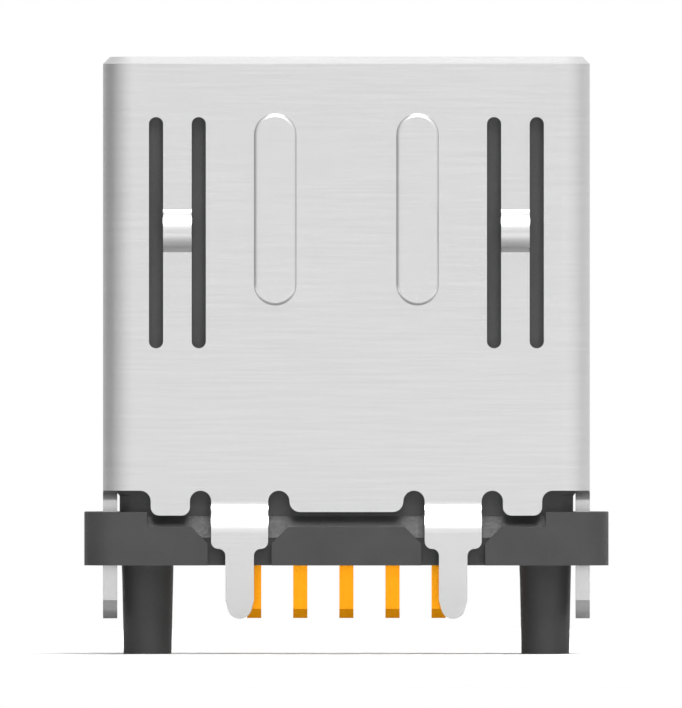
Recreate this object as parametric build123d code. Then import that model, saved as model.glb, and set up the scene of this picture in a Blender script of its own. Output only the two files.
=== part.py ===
from build123d import *
from math import acos, atan, cos, degrees, radians, sin, sqrt, tan
import os

# Upright micro connector for a board: a folded sheet shell on a moulded housing, with five contacts.
# Origin: on the board plane, midway between the side walls and midway through the shell's depth.
# X runs along the width, the wide face looks towards -Y, and the mouth opens towards +Z.

# Shell
shell_width = 6.85
shell_depth = 1.80
shell_top = 7.15
sheet = 0.20
front_corner_radius = 0.40
rear_bevel_width = 0.725
side_face_depth = 0.98
rear_corner_radius = 0.28
mouth_chamfer = 0.10
wall_foot = 1.05
rear_foot = 0.78
rear_skirt_inset = 0.25
rear_skirt_radius = 0.15

# Seam where the folded strip's two ends meet, at the middle of the rear wall
seam_gap = 0.02
key_head = 0.80
key_neck = 0.50
key_reach = 0.45
key_centre_z = 4.00

# Spring strips: two slots beside each strip, and a bump on it
strip_edge_margin = 0.25
strip_width = 0.40
slot_width = 0.20
slot_length = 3.25
slot_foot = 3.05
bump_chord = 0.60
bump_height = 0.20
bump_centre_z = 4.70

# Raised pads on the wide face
pad_centre_x = 1.00
pad_width = 0.60
pad_length = 2.70
pad_centre_z = 5.00
pad_height = 0.06
pad_edge_radius = 0.055

# Lower edge of the wide face
notch_width = 0.30
skirt_foot = 0.75
tab_foot = 0.70
tab_width = 0.55
tab_corner_radius = 0.12

# Board legs
leg_centre_x = 1.50
leg_shoulder_width = 0.80
leg_width = 0.40
leg_length = 0.75
leg_step = 0.20
step_start_z = 0.90
step_inner_radius = 0.20
shoulder_z = 0.135
shoulder_radius = 0.10
tip_radius = 0.17
tip_taper = 15
side_root_radius = 0.15

# Base flange of the housing
base_side_overhang = 0.26
base_front_overhang = 0.26
base_height = 0.75
base_corner_radius = 0.40
ledge_height = 0.54
ledge_side_clearance = 0.05
foot_slope_height = 0.15

# Neck and core of the housing
shell_fit = 0.0
side_leg_gap = 0.035
neck_top = 1.02
neck_flare_height = 0.045
neck_corner_radius = 0.20
core_below_mouth = 0.12
bump_pocket_depth = 0.30
bump_pocket_length = 1.10

# Pockets for the front legs
pocket_side_clearance = 0.05
leg_back_clearance = 0.03
pocket_flare = 0.23
lead_in_height = 0.15

# Passage for the side legs
side_leg_clearance = 0.03

# Pegs that fit the board
peg_leg_gap = 0.06
peg_root_diameter = 0.73
peg_tip_diameter = 0.675
peg_length = 1.25

# Trough that takes the mating tongue
trough_width = 3.80
trough_depth = 0.80
trough_floor_z = 2.40
trough_lead_in = 0.12

# Contacts
contact_count = 5
contact_pitch = 0.65
contact_width = 0.20
contact_sheet = 0.20
tail_depth = 0.36
tail_length = 0.75
tail_tip_height = 0.13
tail_tip_taper = 14
contact_groove_clearance = 0.04
contact_row_y = 0.37
contact_crown_y = -0.02
contact_crown_z = 6.00
contact_end_y = 0.24
contact_end_z = 6.55
contact_bend_radius = 0.18
contact_root_z = 3.20

OVERRUN = 1.0

# Derived places
half_width = shell_width / 2
half_depth = shell_depth / 2
front_y = -half_depth
front_inner_y = front_y + sheet
rear_y = half_depth
side_rear_y = front_y + side_face_depth
side_inner_x = half_width - sheet
rear_face_width = shell_width - 2 * rear_bevel_width
rear_skirt_width = rear_face_width - 2 * rear_skirt_inset
strip_outer_x = half_width - front_corner_radius - strip_edge_margin - slot_width
strip_centre_x = strip_outer_x - strip_width / 2
slot_top = slot_foot + slot_length
notch_radius = notch_width / 2
shoulder_half = leg_shoulder_width / 2
tab_inner_x = leg_centre_x + shoulder_half + notch_width
tab_outer_x = tab_inner_x + tab_width
skirt_half = leg_centre_x - shoulder_half - notch_width
step_outer_radius = step_inner_radius + sheet
step_turn = acos(1 - leg_step / (step_inner_radius + step_outer_radius))
step_end_z = step_start_z - (step_inner_radius + step_outer_radius) * sin(step_turn)
side_flat_front_y = front_y + front_corner_radius
side_leg_y = side_rear_y - side_root_radius - leg_width / 2
base_width = shell_width + 2 * base_side_overhang
base_depth = shell_depth + 2 * base_front_overhang
ledge_half = tab_outer_x + ledge_side_clearance
peg_centre_x = side_inner_x - peg_leg_gap - peg_root_diameter / 2
neck_flare_foot = neck_top - neck_flare_height
pocket_half = shoulder_half + pocket_side_clearance
pocket_back_y = front_y + leg_back_clearance
foot_slope_depth = (sheet - leg_back_clearance) / 2
core_top = shell_top - core_below_mouth
contact_first_x = -contact_pitch * (contact_count - 1) / 2


def shell_outline(inset):
    """Plan outline of the shell, moved inwards by inset: wide front with round corners, bevelled rear."""
    bevel_run = half_width - rear_face_width / 2
    bevel_rise = rear_y - side_rear_y
    bevel_length = sqrt(bevel_run**2 + bevel_rise**2)
    side_shift = inset * (bevel_length - bevel_run) / bevel_rise
    rear_shift = inset * (bevel_length - bevel_rise) / bevel_run
    side_x = half_width - inset
    rear_x = rear_face_width / 2 - rear_shift
    points = [
        (-side_x, front_y + inset),
        (side_x, front_y + inset),
        (side_x, side_rear_y - side_shift),
        (rear_x, rear_y - inset),
        (-rear_x, rear_y - inset),
        (-side_x, side_rear_y - side_shift),
    ]
    face = make_face(Polyline(*points, close=True))
    rear_corners = face.vertices().filter_by(lambda v: v.Y >= front_y / 2)
    face = fillet(rear_corners, rear_corner_radius - inset)
    front_corners = face.vertices().filter_by(lambda v: v.Y < front_y / 2)
    return fillet(front_corners, front_corner_radius - inset)


def prism(inset, bottom, top):
    """Solid on the shell's plan outline between two heights."""
    return extrude(Plane.XY.offset(bottom) * shell_outline(inset), top - bottom)


def wall_ring(bottom, top):
    """The shell's wall between two heights."""
    return prism(0, bottom, top) - prism(sheet, bottom - OVERRUN, top + OVERRUN)


def box(x0, x1, y0, y1, z0, z1):
    """Block between two corners."""
    centre = ((x0 + x1) / 2, (y0 + y1) / 2, (z0 + z1) / 2)
    return Pos(*centre) * Box(x1 - x0, y1 - y0, z1 - z0)


def front_cut(sketch, y0, y1):
    """Extrudes a sketch drawn in X and Z between two values of Y."""
    placed = Plane(origin=(0, y1, 0), x_dir=(1, 0, 0), z_dir=(0, -1, 0)) * sketch
    return extrude(placed, y1 - y0)


def side_cut(sketch, x0, x1):
    """Extrudes a sketch drawn in Y and Z between two values of X."""
    placed = Plane(origin=(x0, 0, 0), x_dir=(0, 1, 0), z_dir=(1, 0, 0)) * sketch
    return extrude(placed, x1 - x0)


def mirrored(shape):
    """The shape and its mirror image across the middle plane."""
    return shape + mirror(shape, about=Plane.YZ)


def leg_outline(root_z):
    """Outline of a board leg below root_z, with a tapered round tip, centred on zero."""
    half = leg_width / 2
    taper = radians(tip_taper)
    tip_centre_z = -leg_length + tip_radius
    touch = (tip_radius * cos(taper), tip_centre_z - tip_radius * sin(taper))
    taper_top = touch[1] + (half - touch[0]) / tan(taper)
    path = [
        Line((-half, root_z), (-half, taper_top)),
        Line((-half, taper_top), (-touch[0], touch[1])),
        ThreePointArc((-touch[0], touch[1]), (0, -leg_length), touch),
        Line(touch, (half, taper_top)),
        Line((half, taper_top), (half, root_z)),
        Line((half, root_z), (-half, root_z)),
    ]
    return make_face(path)


def quarter_fill(corner_x, corner_z, radius, side):
    """The concave fillet between a vertical edge at corner_x and a level edge at corner_z."""
    square = Rectangle(radius, radius)
    disc = Circle(radius)
    centre_x = corner_x + side * radius
    placed = Pos(corner_x + side * radius / 2, corner_z - radius / 2) * square
    return placed - Pos(centre_x, corner_z - radius) * disc


def lower_edge_cut():
    """What is cut from the sheet below wall_foot, in the front view: all but the skirt, tabs and legs."""
    reach = half_width + OVERRUN
    below = Pos(0, wall_foot - OVERRUN) * Rectangle(2 * reach, 2 * OVERRUN)
    skirt_height = wall_foot - skirt_foot + notch_radius
    skirt = Pos(0, skirt_foot + skirt_height / 2) * Rectangle(2 * skirt_half, skirt_height)
    skirt_corners = skirt.vertices().filter_by(lambda v: v.Y < wall_foot)
    skirt = fillet(skirt_corners, notch_radius)
    keep = skirt
    for side in (-1, 1):
        tab_height = wall_foot - tab_foot + notch_radius
        tab = Pos(side * (tab_inner_x + tab_outer_x) / 2, tab_foot + tab_height / 2)
        tab = tab * Rectangle(tab_width, tab_height)
        tab = fillet(tab.vertices().filter_by(lambda v: v.Y < wall_foot), tab_corner_radius)
        keep += tab
        keep += quarter_fill(side * tab_outer_x, wall_foot, notch_radius, side)
        leg_height = wall_foot - step_start_z + notch_radius
        stub = Pos(side * leg_centre_x, step_start_z + leg_height / 2)
        keep += stub * Rectangle(leg_shoulder_width, leg_height)
        for centre_x in (skirt_half + notch_radius, tab_inner_x - notch_radius):
            for way in (-1, 1):
                keep += quarter_fill(side * centre_x + way * notch_radius, wall_foot, notch_radius, -way)
    return below - keep


def rear_edge_cut():
    """What is cut from the sides and the rear below wall_foot, in the front view: all but the rear skirt."""
    reach = half_width + OVERRUN
    below = Pos(0, wall_foot - OVERRUN) * Rectangle(2 * reach, 2 * OVERRUN)
    skirt_height = wall_foot - rear_foot + rear_skirt_radius
    skirt = Pos(0, rear_foot + skirt_height / 2) * Rectangle(rear_skirt_width, skirt_height)
    skirt = fillet(skirt.vertices().filter_by(lambda v: v.Y < wall_foot), rear_skirt_radius)
    return below - skirt


def side_leg():
    """A side wall carried straight down through the base, with fillets at its root."""
    half = leg_width / 2
    outline = leg_outline(wall_foot + OVERRUN)
    for side in (-1, 1):
        outline += quarter_fill(side * half, wall_foot, side_root_radius, side)
    outline = Pos(side_leg_y, 0) * outline
    below = wall_ring(-leg_length - OVERRUN, wall_foot)
    return below & side_cut(outline, 0, half_width + OVERRUN)


def front_leg(centre_x):
    """A leg stepped forward by one sheet, shouldered, and brought down through the board."""
    turn = step_turn
    upper_y = front_y - step_inner_radius
    lower_y = front_y - leg_step + step_outer_radius
    leg_front_y = front_y - leg_step

    def arc_point(y, z, radius, angle):
        return (y + radius * cos(angle), z - radius * sin(angle))

    def arc(y, z, radius, start, end):
        mid = (start + end) / 2
        return ThreePointArc(*[arc_point(y, z, radius, angle) for angle in (start, mid, end)])

    inner, outer = step_inner_radius, step_outer_radius
    front = [
        Line((front_y, wall_foot), (front_y, step_start_z)),
        arc(upper_y, step_start_z, inner, 0, turn),
        arc(lower_y, step_end_z, -outer, turn, 0),
        Line((leg_front_y, step_end_z), (leg_front_y, -leg_length)),
    ]
    back_y = leg_front_y + sheet
    back = [
        Line((back_y, -leg_length), (back_y, step_end_z)),
        arc(lower_y, step_end_z, -inner, 0, turn),
        arc(upper_y, step_start_z, outer, turn, 0),
        Line((front_y + sheet, step_start_z), (front_y + sheet, wall_foot)),
    ]
    ends = [
        Line((leg_front_y, -leg_length), (back_y, -leg_length)),
        Line((front_y + sheet, wall_foot), (front_y, wall_foot)),
    ]
    strip = side_cut(make_face(front + back + ends), centre_x - shoulder_half, centre_x + shoulder_half)
    outline = leg_outline(shoulder_z)
    lower_corner_z = shoulder_z + shoulder_radius
    wide_height = wall_foot - lower_corner_z
    wide = Pos(0, lower_corner_z + wide_height / 2) * Rectangle(leg_shoulder_width, wide_height)
    wide = fillet(wide.vertices().filter_by(lambda v: v.Y < wall_foot), shoulder_radius)
    neck_height = lower_corner_z + shoulder_radius - shoulder_z
    outline += Pos(0, shoulder_z + neck_height / 2) * Rectangle(leg_width, neck_height)
    outline += wide
    for side in (-1, 1):
        outline += quarter_fill(side * leg_width / 2, lower_corner_z, shoulder_radius, side)
    outline = Pos(centre_x, 0) * outline
    return strip & front_cut(outline, front_y - leg_step - OVERRUN, front_inner_y + OVERRUN)


def spring_bump(centre_x):
    """A round bump across a strip, raised out of the sheet: its outer cylinder and its hollow."""
    half_chord = bump_chord / 2
    outer = (half_chord**2 + bump_height**2) / (2 * bump_height)
    centre_y = front_y - bump_height + outer
    roller = Pos(centre_x, centre_y, bump_centre_z) * Rot(0, 90, 0) * Cylinder(outer, strip_width)
    hollow = Pos(centre_x, centre_y, bump_centre_z) * Rot(0, 90, 0) * Cylinder(outer - sheet, strip_width)
    half_strip = strip_width / 2
    front_half = box(
        centre_x - half_strip,
        centre_x + half_strip,
        front_y - bump_height - OVERRUN,
        front_inner_y - sheet / 2,
        bump_centre_z - outer,
        bump_centre_z + outer,
    )
    return roller & front_half, hollow


def slot(centre_x, width):
    """Round-ended slot beside a strip, cut through the wide face."""
    outline = Pos(centre_x, (slot_foot + slot_top) / 2) * Rot(0, 0, 90) * SlotOverall(slot_length, width)
    return front_cut(outline, front_y - OVERRUN, front_inner_y + sheet / 2)


def pad(centre_x):
    """Raised pad with a round edge, and the same form pressed in from behind."""
    place = Pos(centre_x, pad_centre_z) * Rot(0, 0, 90)
    outline = place * SlotOverall(pad_length, pad_width)
    raised = front_cut(outline, front_y - pad_height, front_y)
    rim = raised.edges().filter_by(lambda e: abs(e.center().Y - front_y + pad_height) < 1e-6)
    raised = fillet(rim, pad_edge_radius)
    hollow_inset = pad_height
    pressed = place * SlotOverall(pad_length - 2 * hollow_inset, pad_width - 2 * hollow_inset)
    hollow = front_cut(pressed, front_inner_y - pad_height, front_inner_y)
    return raised, hollow


def seam():
    """Keyed gap where the two ends of the strip meet, cut through the rear wall."""
    points = [
        (0, -OVERRUN),
        (0, key_centre_z - key_neck / 2),
        (key_reach, key_centre_z - key_head / 2),
        (key_reach, key_centre_z + key_head / 2),
        (0, key_centre_z + key_neck / 2),
        (0, shell_top + OVERRUN),
    ]
    outline = trace(Polyline(*points), seam_gap)
    return front_cut(outline, 0, rear_y + OVERRUN)


def make_shell():
    """The whole folded sheet: wall, spring strips, pads, skirt, tabs and four legs."""
    blank = prism(0, 0, shell_top)
    rim = blank.faces().sort_by(Axis.Z)[-1].outer_wire().edges()
    wall = chamfer(rim, mouth_chamfer) - prism(sheet, -OVERRUN, shell_top + OVERRUN)
    wall -= front_cut(lower_edge_cut(), front_y - OVERRUN, side_flat_front_y)
    wall -= front_cut(rear_edge_cut(), side_flat_front_y, rear_y + OVERRUN)
    for side in (-1, 1):
        centre = side * strip_centre_x
        for way in (-1, 1):
            wall -= slot(centre + way * (strip_width + slot_width) / 2, slot_width)
        bump, hollow = spring_bump(centre)
        wall = wall + bump - hollow
        raised, pressed = pad(side * pad_centre_x)
        wall = wall + raised - pressed
        wall += front_leg(side * leg_centre_x)
    wall += mirrored(side_leg())
    return wall - seam()


def leg_pocket(centre_x):
    """Open-fronted pocket in the flange for a front leg: flared sides and a sloping back."""
    flare_z = ledge_height - pocket_flare
    flare_half = pocket_half + pocket_flare
    points = [
        (-pocket_half, -OVERRUN),
        (pocket_half, -OVERRUN),
        (pocket_half, flare_z),
        (flare_half, ledge_height),
        (flare_half, ledge_height + OVERRUN),
        (-flare_half, ledge_height + OVERRUN),
        (-flare_half, ledge_height),
        (-pocket_half, flare_z),
    ]
    outline = Pos(centre_x, 0) * make_face(Polyline(*points, close=True))
    cut = front_cut(outline, -base_depth, front_inner_y)
    lead_foot = ledge_height - lead_in_height
    back = [
        (-base_depth, -OVERRUN),
        (pocket_back_y, -OVERRUN),
        (pocket_back_y, lead_foot),
        (pocket_back_y + foot_slope_depth, ledge_height),
        (-base_depth, ledge_height),
    ]
    profile = make_face(Polyline(*back, close=True))
    return cut & side_cut(profile, centre_x - flare_half, centre_x + flare_half)


def make_base():
    """Flange on the board: high ends, a ledge between them, and a sloping foot under the shell."""
    plate = Pos(0, 0) * Rectangle(base_width, base_depth)
    plate = fillet(plate.vertices(), base_corner_radius)
    base = extrude(plate, base_height)
    foot_y = pocket_back_y + foot_slope_depth
    slope_top = ledge_height + foot_slope_height
    rear_slope_y = rear_y - sheet + foot_slope_depth
    ledge = [
        (-base_depth, ledge_height),
        (foot_y, ledge_height),
        (foot_y + foot_slope_depth, slope_top),
        (foot_y + foot_slope_depth, base_height + OVERRUN),
        (-base_depth, base_height + OVERRUN),
    ]
    rear_ledge = [
        (base_depth, ledge_height),
        (rear_slope_y, ledge_height),
        (rear_slope_y - foot_slope_depth, slope_top),
        (rear_slope_y - foot_slope_depth, base_height + OVERRUN),
        (base_depth, base_height + OVERRUN),
    ]
    for points in (ledge, rear_ledge):
        base -= side_cut(make_face(Polyline(*points, close=True)), -ledge_half, ledge_half)
    for side in (-1, 1):
        base -= leg_pocket(side * leg_centre_x)
    return base


def side_passage():
    """Slot through the flange for a side leg."""
    half = leg_width / 2 + side_leg_clearance
    outer_x = half_width + side_leg_clearance
    inner_x = side_inner_x - side_leg_gap
    return box(inner_x, outer_x, side_leg_y - half, side_leg_y + half, -OVERRUN, neck_flare_foot)


def peg(centre_x):
    """Tapered round peg under the flange."""
    root = peg_root_diameter / 2
    tip = peg_tip_diameter / 2
    points = [
        (0, base_height / 2),
        (root, base_height / 2),
        (root, 0),
        (tip, -peg_length),
        (0, -peg_length),
    ]
    profile = Plane.XZ * make_face(Polyline(*points, close=True))
    return Pos(centre_x, 0, 0) * revolve(profile, Axis.Z)


def contact_line():
    """Middle line of a contact in Y and Z: straight tail, sloping beam, round crown and turned-back end."""
    return [
        (contact_row_y, contact_root_z),
        (contact_crown_y, contact_crown_z),
        (contact_end_y, contact_end_z),
    ]


def make_contact(centre_x):
    """One contact: a flat strip with a pointed tail, sprung forward into the trough."""
    half = contact_sheet / 2
    tail_half = tail_depth / 2
    taper_z = -tail_length + tail_tip_height
    tip_half = tail_half - tail_tip_height * tan(radians(tail_tip_taper))
    stem = [
        (contact_row_y - tail_half, ledge_height),
        (contact_row_y - tail_half, taper_z),
        (contact_row_y - tip_half, -tail_length),
        (contact_row_y + tip_half, -tail_length),
        (contact_row_y + tail_half, taper_z),
        (contact_row_y + tail_half, ledge_height),
    ]
    tail = make_face(Polyline(*stem, close=True))
    riser_height = contact_root_z - ledge_height + half
    riser = Pos(contact_row_y, ledge_height - half / 2 + riser_height / 2)
    riser = riser * Rectangle(contact_sheet, riser_height)
    beam = FilletPolyline(
        (contact_row_y, contact_root_z - contact_sheet),
        *contact_line(),
        radius=contact_bend_radius,
    )
    outline = tail + riser + trace(beam, contact_sheet)
    x0 = centre_x - contact_width / 2
    return side_cut(outline, x0, x0 + contact_width)


def make_core():
    """The moulding inside the shell, and its narrower neck, which flares out above the side legs' gaps."""
    core = prism(sheet + shell_fit, ledge_height, core_top)
    neck_width = 2 * (side_inner_x - side_leg_gap)
    neck_plan = Rectangle(neck_width, shell_depth - 2 * sheet)
    neck_plan = fillet(neck_plan.vertices(), neck_corner_radius)
    neck = extrude(neck_plan, neck_flare_foot)
    flare_angle = degrees(atan(side_leg_gap / neck_flare_height))
    neck += extrude(Plane.XY.offset(neck_flare_foot) * neck_plan, neck_flare_height, taper=-flare_angle)
    return core - (prism(0, ledge_height, neck_top) - neck)


def make_housing():
    """The whole moulding: flange, pegs, neck, core, trough and the contacts' grooves."""
    housing = make_base() + make_core() - mirrored(side_passage())
    for side in (-1, 1):
        housing += peg(side * peg_centre_x)
    half_trough = trough_width / 2
    trough_back_y = front_inner_y + trough_depth
    housing -= box(-half_trough, half_trough, front_y, trough_back_y, trough_floor_z, core_top + OVERRUN)
    mouth = [
        (trough_back_y, core_top - trough_lead_in),
        (trough_back_y + trough_lead_in, core_top),
        (front_y, core_top),
        (front_y, core_top - trough_lead_in),
    ]
    housing -= side_cut(make_face(Polyline(*mouth, close=True)), -half_trough, half_trough)
    for side in (-1, 1):
        pocket = Box(strip_width, 2 * bump_pocket_depth, bump_pocket_length)
        housing -= Pos(side * strip_centre_x, front_inner_y, bump_centre_z) * pocket
    half_groove = contact_width / 2 + contact_groove_clearance
    groove_back_y = contact_row_y + contact_sheet / 2
    for index in range(contact_count):
        x = contact_first_x + index * contact_pitch
        reach_z = core_top + OVERRUN
        housing -= box(x - half_groove, x + half_groove, front_inner_y, groove_back_y, contact_root_z, reach_z)
        housing -= make_contact(x)
    return housing


os.makedirs("parts", exist_ok=True)
export_step(make_shell(), "parts/shell.step")
export_step(make_housing(), "parts/housing.step")
for number in range(contact_count):
    place = contact_first_x + number * contact_pitch
    export_step(make_contact(place), f"parts/contact_{number + 1}.step")
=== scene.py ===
import bpy
import numpy as np
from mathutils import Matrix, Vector


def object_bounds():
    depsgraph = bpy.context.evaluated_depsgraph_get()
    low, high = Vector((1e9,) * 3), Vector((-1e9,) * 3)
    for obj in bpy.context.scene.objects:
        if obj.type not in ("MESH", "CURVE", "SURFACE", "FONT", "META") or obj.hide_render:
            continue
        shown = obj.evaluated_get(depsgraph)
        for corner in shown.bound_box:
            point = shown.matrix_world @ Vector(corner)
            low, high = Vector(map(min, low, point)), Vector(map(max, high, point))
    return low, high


# An upright micro connector for a board, at its real size, in metres.
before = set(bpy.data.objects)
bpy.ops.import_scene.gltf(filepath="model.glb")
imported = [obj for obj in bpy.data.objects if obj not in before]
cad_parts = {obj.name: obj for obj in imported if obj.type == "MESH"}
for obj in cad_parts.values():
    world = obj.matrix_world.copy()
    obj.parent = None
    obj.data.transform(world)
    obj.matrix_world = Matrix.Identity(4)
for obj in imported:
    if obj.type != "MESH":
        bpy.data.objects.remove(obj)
cad_low, cad_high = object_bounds()

MM = 0.001
WHITE = "FFFFFF"

# The photograph's framing: its size, its scale at SCALE_DEPTH, and where the origin falls.
PHOTO_WIDTH_PX = 682
PHOTO_HEIGHT_PX = 708
PIXELS_PER_MM = 71.1
ORIGIN_X_PX = 346.4
ORIGIN_Y_PX = 565.2
SCALE_DEPTH = -0.55 * MM

# The camera. Blender takes the sensor's width in millimetres.
CAMERA_DISTANCE = 400 * MM
SENSOR_MM = 36.0
CLIP_RATIO = 10

# The floor card: its size, and the painted shade on it, grey under the part and paling towards its rim.
FLOOR_RADIUS = 36 * MM
FLOOR_SIDES = 96
CARD_INNER = 4 * MM
CARD_OUTER = 13 * MM
# Painted shade: how grey the card is right under the part.
CARD_PAINTED_SHADE = 0.22
CARD_PALE = 0.85
CARD_ROUGHNESS = 0.9

# The studio's even fill, and what the metal reflects: its level, how that grows towards +X, +Y and +Z, how
# it grows towards both ends of each axis, and the lowest that it gets.
FILL_LEVEL = 0.18
REFLECTION_LEVEL = 0.70
REFLECTION_LEAN = (0.23, -0.12, 0.58)
REFLECTION_ENDS = (-0.14, 0.27, 0.0)
REFLECTION_FLOOR = 0.05

# The softboxes.
LAMP_DISTANCE = 500 * MM
LAMP_SIZE = 290 * MM

# The marks on each surface are noise: the stretch of its values that is used, and its finer layers.
NOISE_LOW = 0.3
NOISE_HIGH = 0.7
NOISE_DETAIL = 3.0

# Places of the Mix node's colour sockets, whose names it also gives to other sockets.
MIX_FROM = 6
MIX_TO = 7
MIX_RESULT = 2

# Rolling lines of the shell's strip: long along the strip and fine across it, but drawn coarser than real
# ones, so that they show.
ROLL_LENGTH = 1.2 * MM
ROLL_WIDTH = 0.03 * MM
ROLL_HEIGHT = 0.00003 * MM
ROLL = (ROLL_LENGTH, ROLL_LENGTH, ROLL_WIDTH)

# The housing's moulded skin: a broad mottle in its tone and a fine matt grain.
SKIN_MOTTLE = 0.6 * MM
SKIN_GRAIN = 0.04 * MM
SKIN_HEIGHT = 0.0012 * MM

# Stamping lines of the contacts: long down the tail and fine across it, and drawn coarser in the same way.
STAMP_LENGTH = 0.5 * MM
STAMP_WIDTH = 0.02 * MM
STAMP_HEIGHT = 0.0002 * MM
STAMP = (STAMP_WIDTH, STAMP_WIDTH, STAMP_LENGTH)


def linear(code):
    """Turns an sRGB hex value into the linear colour that the shader takes, by the standard curve."""
    parts = np.array([int(code[i : i + 2], 16) for i in (0, 2, 4)]) / 255
    low, high = parts / 12.92, ((parts + 0.055) / 1.055) ** 2.4
    return (*np.where(parts <= 0.04045, low, high).tolist(), 1.0)


def add(tree, kind, settings=None, inputs=None, links=None):
    """Adds one node: its own settings, the values of its sockets, and the sockets linked into it."""
    node = tree.nodes.new(kind)
    for name, value in (settings or {}).items():
        setattr(node, name, value)
    for name, value in (inputs or {}).items():
        node.inputs[name].default_value = value
    for name, source in (links or {}).items():
        tree.links.new(source, node.inputs[name])
    return node


def start_finish(name, values):
    """Starts a finish as one shader with the given values, and gives its material, tree and shader."""
    material = bpy.data.materials.new(name)
    material.use_nodes = True
    tree = material.node_tree
    tree.nodes.clear()
    shader = add(tree, "ShaderNodeBsdfPrincipled", inputs=values)
    add(tree, "ShaderNodeOutputMaterial", links={"Surface": shader.outputs[0]})
    return material, tree, shader


def worked_finish(name, values, tones, mottle, roughness, grain, height):
    """A finish that shows how its surface was made. Its tone runs between two sRGB hex colours from cell to
    cell of the mottle. Its roughness runs between two values, and its skin rises by a height, from cell to
    cell of the grain. A cell is given by its sizes along X, Y and Z."""
    material, tree, shader = start_finish(name, values)
    coordinates = add(tree, "ShaderNodeTexCoord")
    fields = []
    for cell in (mottle, grain):
        cells = add(
            tree,
            "ShaderNodeMapping",
            inputs={"Scale": [1 / size for size in cell]},
            links={"Vector": coordinates.outputs["Object"]},
        )
        field = add(
            tree,
            "ShaderNodeTexNoise",
            inputs={"Scale": 1.0, "Detail": NOISE_DETAIL},
            links={"Vector": cells.outputs[0]},
        )
        fields.append(field.outputs["Fac"])
    mottle_field, grain_field = fields
    spans = []
    for field, (low, high) in ((mottle_field, (0.0, 1.0)), (grain_field, roughness)):
        span = add(
            tree,
            "ShaderNodeMapRange",
            inputs={"From Min": NOISE_LOW, "From Max": NOISE_HIGH, "To Min": low, "To Max": high},
            links={"Value": field},
        )
        spans.append(span.outputs[0])
    tone_share, polish = spans
    tone = add(
        tree,
        "ShaderNodeMix",
        settings={"data_type": "RGBA"},
        inputs={MIX_FROM: linear(tones[0]), MIX_TO: linear(tones[1])},
        links={"Factor": tone_share},
    )
    relief = add(
        tree,
        "ShaderNodeBump",
        inputs={"Strength": 1.0, "Distance": height},
        links={"Height": grain_field},
    )
    tree.links.new(tone.outputs[MIX_RESULT], shader.inputs["Base Color"])
    tree.links.new(polish, shader.inputs["Roughness"])
    tree.links.new(relief.outputs[0], shader.inputs["Normal"])
    return material


def card_finish():
    """The floor's card. The camera sees it white. Every other ray sees painted shade on it, grey under the
    part and paling to its rim, so that the part's undersides stay dark and its walls stay bright. Its lower
    face is clear, so that the part can be seen from underneath."""
    material, tree, shader = start_finish("pale_card", {"Roughness": CARD_ROUGHNESS})
    coordinates = add(tree, "ShaderNodeTexCoord")
    reach = add(
        tree,
        "ShaderNodeVectorMath",
        settings={"operation": "LENGTH"},
        links={0: coordinates.outputs["Object"]},
    )
    # Painted shade: the card turns grey under the part and pales outwards, for every ray but the camera's.
    painted_shade = add(
        tree,
        "ShaderNodeMapRange",
        inputs={
            "From Min": CARD_INNER,
            "From Max": CARD_OUTER,
            "To Min": CARD_PAINTED_SHADE,
            "To Max": CARD_PALE,
        },
        links={"Value": reach.outputs["Value"]},
    )
    path = add(tree, "ShaderNodeLightPath")
    colour = add(
        tree,
        "ShaderNodeMix",
        settings={"data_type": "RGBA"},
        inputs={MIX_TO: linear(WHITE)},
        links={"Factor": path.outputs["Is Camera Ray"], MIX_FROM: painted_shade.outputs[0]},
    )
    face = add(tree, "ShaderNodeNewGeometry")
    upper_face = add(
        tree,
        "ShaderNodeMath",
        settings={"operation": "SUBTRACT"},
        inputs={0: 1.0},
        links={1: face.outputs["Backfacing"]},
    )
    tree.links.new(colour.outputs[MIX_RESULT], shader.inputs["Base Color"])
    tree.links.new(upper_face.outputs[0], shader.inputs["Alpha"])
    return material


def plated_strip():
    """Nickel-plated stainless strip: a satin pale metal with faint rolling lines."""
    return worked_finish(
        "nickel_plated_strip",
        {"Metallic": 0.88},
        tones=("C3C3C3", "C7C7C7"),
        mottle=ROLL,
        roughness=(0.24, 0.26),
        grain=ROLL,
        height=ROLL_HEIGHT,
    )


def moulded_polymer():
    """Glass-filled liquid crystal polymer: dark grey, with the matt skin of a spark-eroded mould."""
    return worked_finish(
        "moulded_liquid_crystal_polymer",
        {"IOR": 1.45},
        tones=("2B2B2B", "313131"),
        mottle=(SKIN_MOTTLE,) * 3,
        roughness=(0.50, 0.62),
        grain=(SKIN_GRAIN,) * 3,
        height=SKIN_HEIGHT,
    )


def gilded_alloy():
    """Gold flash over copper alloy: a warm yellow metal, smooth but for fine stamping lines."""
    return worked_finish(
        "gold_plated_copper_alloy",
        {"Metallic": 0.75},
        tones=("FF9F06", "FFAA0E"),
        mottle=STAMP,
        roughness=(0.18, 0.24),
        grain=STAMP,
        height=STAMP_HEIGHT,
    )


def dress_pieces():
    """Gives each piece its finish. All but the shell and the housing are contacts."""
    finishes = {"shell": plated_strip(), "housing": moulded_polymer()}
    contact_finish = gilded_alloy()
    for name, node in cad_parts.items():
        node.data.materials.clear()
        node.data.materials.append(finishes.get(name, contact_finish))


def make_floor():
    """Lays the round card under the pegs. It casts no shadow, so light from below reaches the part."""
    turn = np.linspace(0, 2 * np.pi, FLOOR_SIDES, endpoint=False)
    across = FLOOR_RADIUS * np.cos(turn)
    along = FLOOR_RADIUS * np.sin(turn)
    rim = np.stack([across, along, np.full(FLOOR_SIDES, cad_low.z)], 1)
    mesh = bpy.data.meshes.new("floor")
    mesh.from_pydata(rim.tolist(), [], [tuple(range(FLOOR_SIDES))])
    floor = bpy.data.objects.new("floor", mesh)
    bpy.context.scene.collection.objects.link(floor)
    floor.data.materials.append(card_finish())
    floor.visible_shadow = False


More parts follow.
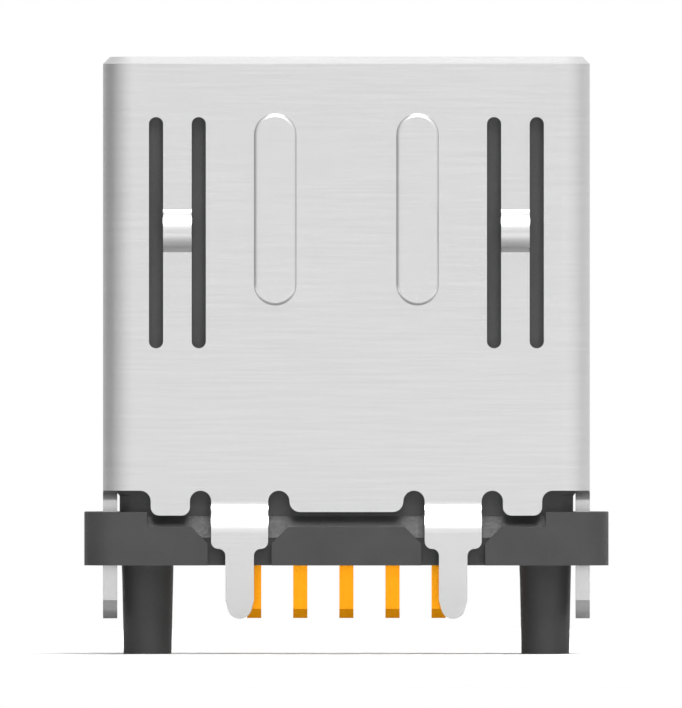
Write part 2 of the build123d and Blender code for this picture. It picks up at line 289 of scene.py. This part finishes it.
def make_world():
    """White for the camera and for glass, and a weak even fill for diffuse light. The metal reflects a
    studio that is brightest above, pale in front and behind, and greyer at the sides, above all on the
    left."""
    world = bpy.data.worlds.new("studio")
    world.use_nodes = True
    tree = world.node_tree
    tree.nodes.clear()
    path = add(tree, "ShaderNodeLightPath")
    direction = add(tree, "ShaderNodeTexCoord")
    lean = add(
        tree,
        "ShaderNodeVectorMath",
        settings={"operation": "DOT_PRODUCT"},
        inputs={1: REFLECTION_LEAN},
        links={0: direction.outputs["Generated"]},
    )
    either_way = add(
        tree,
        "ShaderNodeVectorMath",
        settings={"operation": "ABSOLUTE"},
        links={0: direction.outputs["Generated"]},
    )
    ends = add(
        tree,
        "ShaderNodeVectorMath",
        settings={"operation": "DOT_PRODUCT"},
        inputs={1: REFLECTION_ENDS},
        links={0: either_way.outputs["Vector"]},
    )
    shade = add(
        tree,
        "ShaderNodeMath",
        settings={"operation": "ADD"},
        links={0: lean.outputs["Value"], 1: ends.outputs["Value"]},
    )
    reflected = add(
        tree,
        "ShaderNodeMapRange",
        inputs={
            "From Min": REFLECTION_FLOOR - REFLECTION_LEVEL,
            "From Max": 1.0,
            "To Min": REFLECTION_FLOOR,
            "To Max": 1.0 + REFLECTION_LEVEL,
        },
        links={"Value": shade.outputs[0]},
    )
    seen = add(
        tree,
        "ShaderNodeMath",
        settings={"operation": "MAXIMUM"},
        links={0: path.outputs["Is Camera Ray"], 1: path.outputs["Is Transmission Ray"]},
    )
    strengths = (
        ("fill", FILL_LEVEL, None),
        ("reflected", 1.0, reflected.outputs[0]),
        ("seen", 1.0, None),
    )
    lights = {}
    for name, strength, source in strengths:
        light = add(
            tree,
            "ShaderNodeBackground",
            inputs={"Color": linear(WHITE), "Strength": strength},
            links={"Strength": source} if source else None,
        )
        lights[name] = light.outputs[0]
    unseen = add(
        tree,
        "ShaderNodeMixShader",
        links={0: path.outputs["Is Glossy Ray"], 1: lights["fill"], 2: lights["reflected"]},
    )
    mix = add(
        tree,
        "ShaderNodeMixShader",
        links={0: seen.outputs[0], 1: unseen.outputs[0], 2: lights["seen"]},
    )
    add(tree, "ShaderNodeOutputWorld", links={"Surface": mix.outputs[0]})
    bpy.context.scene.world = world


def add_lamp(name, direction, level, mirrored=False, lighting=True):
    """A square softbox in a direction from the part. Its level is what it adds to a white card that faces
    it, so its power is the level times the square of pi and of its distance. A mirrored lamp leaves
    highlights on glossy faces, and one that isn't lighting leaves only those."""
    centre = (cad_low + cad_high) / 2
    data = bpy.data.lights.new(name, "AREA")
    data.size = LAMP_SIZE
    data.energy = level * np.pi * LAMP_DISTANCE**2 * np.pi
    lamp = bpy.data.objects.new(name, data)
    lamp.location = centre + Vector(direction).normalized() * LAMP_DISTANCE
    lamp.rotation_mode = "QUATERNION"
    lamp.rotation_quaternion = (-Vector(direction)).to_track_quat("-Z", "Y")
    lamp.visible_camera = False
    lamp.visible_glossy = mirrored
    lamp.visible_diffuse = lighting
    bpy.context.scene.collection.objects.link(lamp)


def make_camera():
    """A long lens level with the object, so that the view is as flat as the photograph's. The photograph's
    scale holds at SCALE_DEPTH, midway between the legs and the pegs."""
    data = bpy.data.cameras.new("camera")
    data.sensor_width = SENSOR_MM
    view_height = PHOTO_HEIGHT_PX / PIXELS_PER_MM * MM
    data.lens = SENSOR_MM * CAMERA_DISTANCE / view_height
    data.clip_start = CAMERA_DISTANCE / CLIP_RATIO
    data.clip_end = CAMERA_DISTANCE * CLIP_RATIO
    camera = bpy.data.objects.new("camera", data)
    middle_x = (PHOTO_WIDTH_PX / 2 - ORIGIN_X_PX) / PIXELS_PER_MM * MM
    middle_z = (ORIGIN_Y_PX - PHOTO_HEIGHT_PX / 2) / PIXELS_PER_MM * MM
    camera.location = (middle_x, SCALE_DEPTH - CAMERA_DISTANCE, middle_z)
    camera.rotation_euler = (np.pi / 2, 0, 0)
    bpy.context.scene.collection.objects.link(camera)
    bpy.context.scene.camera = camera


dress_pieces()
make_camera()
make_world()
make_floor()
add_lamp("front", (0.10, -1.00, -0.40), 1.25)
add_lamp("key", (0.35, -1.00, 0.60), 0.25)
add_lamp("brow", (0.05, -0.58, 0.76), 1.50, mirrored=True, lighting=False)
add_lamp("top", (0.30, -0.10, 1.00), 1.20)
add_lamp("left", (-1.00, -0.10, 0.30), 0.05)
add_lamp("back", (0.30, 1.00, 0.45), 0.55)
add_lamp("under", (0.10, -0.20, -1.00), 0.45)

bpy.context.scene.view_settings.view_transform = "Standard"
